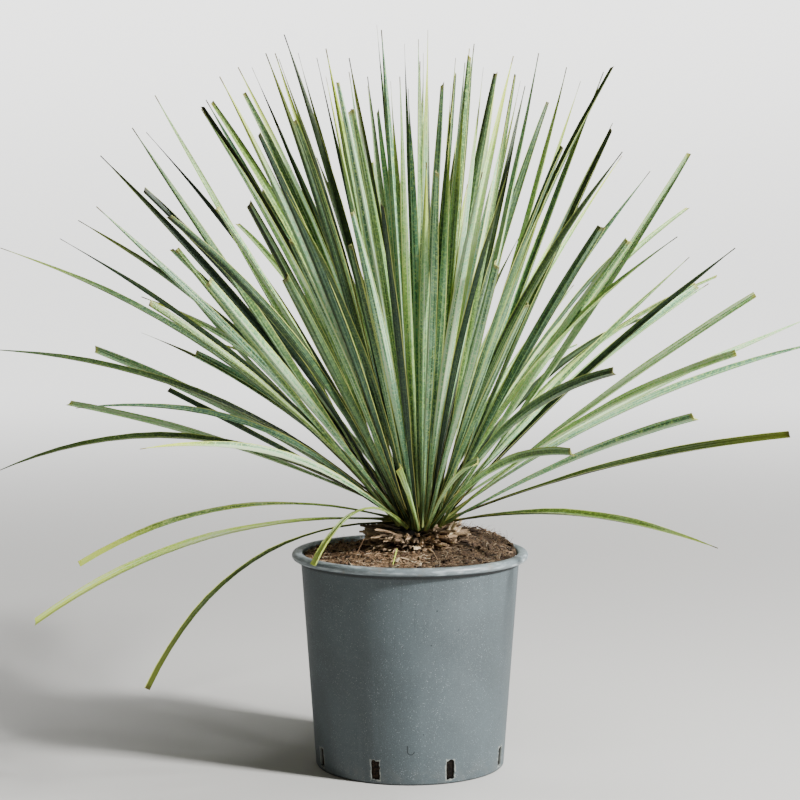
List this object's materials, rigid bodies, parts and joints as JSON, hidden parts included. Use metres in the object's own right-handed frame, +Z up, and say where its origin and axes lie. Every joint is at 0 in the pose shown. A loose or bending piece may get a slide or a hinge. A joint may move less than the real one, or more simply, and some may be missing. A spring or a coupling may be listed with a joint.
{
  "type": "potted beaked yucca",
  "caption": "Potted beaked yucca: a stiff round rosette of narrow grey-green leaves on a short brown stump, standing in a tapered round nursery pot filled with soil.",
  "frame": {"origin": "middle of the pot's flat base, where it stands", "axes": "+Z up along the pot's axis; the pictured front faces -Y"},
  "size_m": [0.9353, 0.8645, 0.8157],
  "materials": {
    "pot_plastic": "moulded grey-blue plastic with fine pale specks",
    "soil": "loose fibrous peat with bark chips",
    "stump_bark": "ragged layers of dry papery leaf bases",
    "leaf": "waxy grey-green with thin yellow margins"
  },
  "bodies": {
    "root": {"pot": "pot_plastic", "soil": "soil", "stump": "stump_bark", "leaf_rosette": "leaf"}
  },
  "joints": []
}
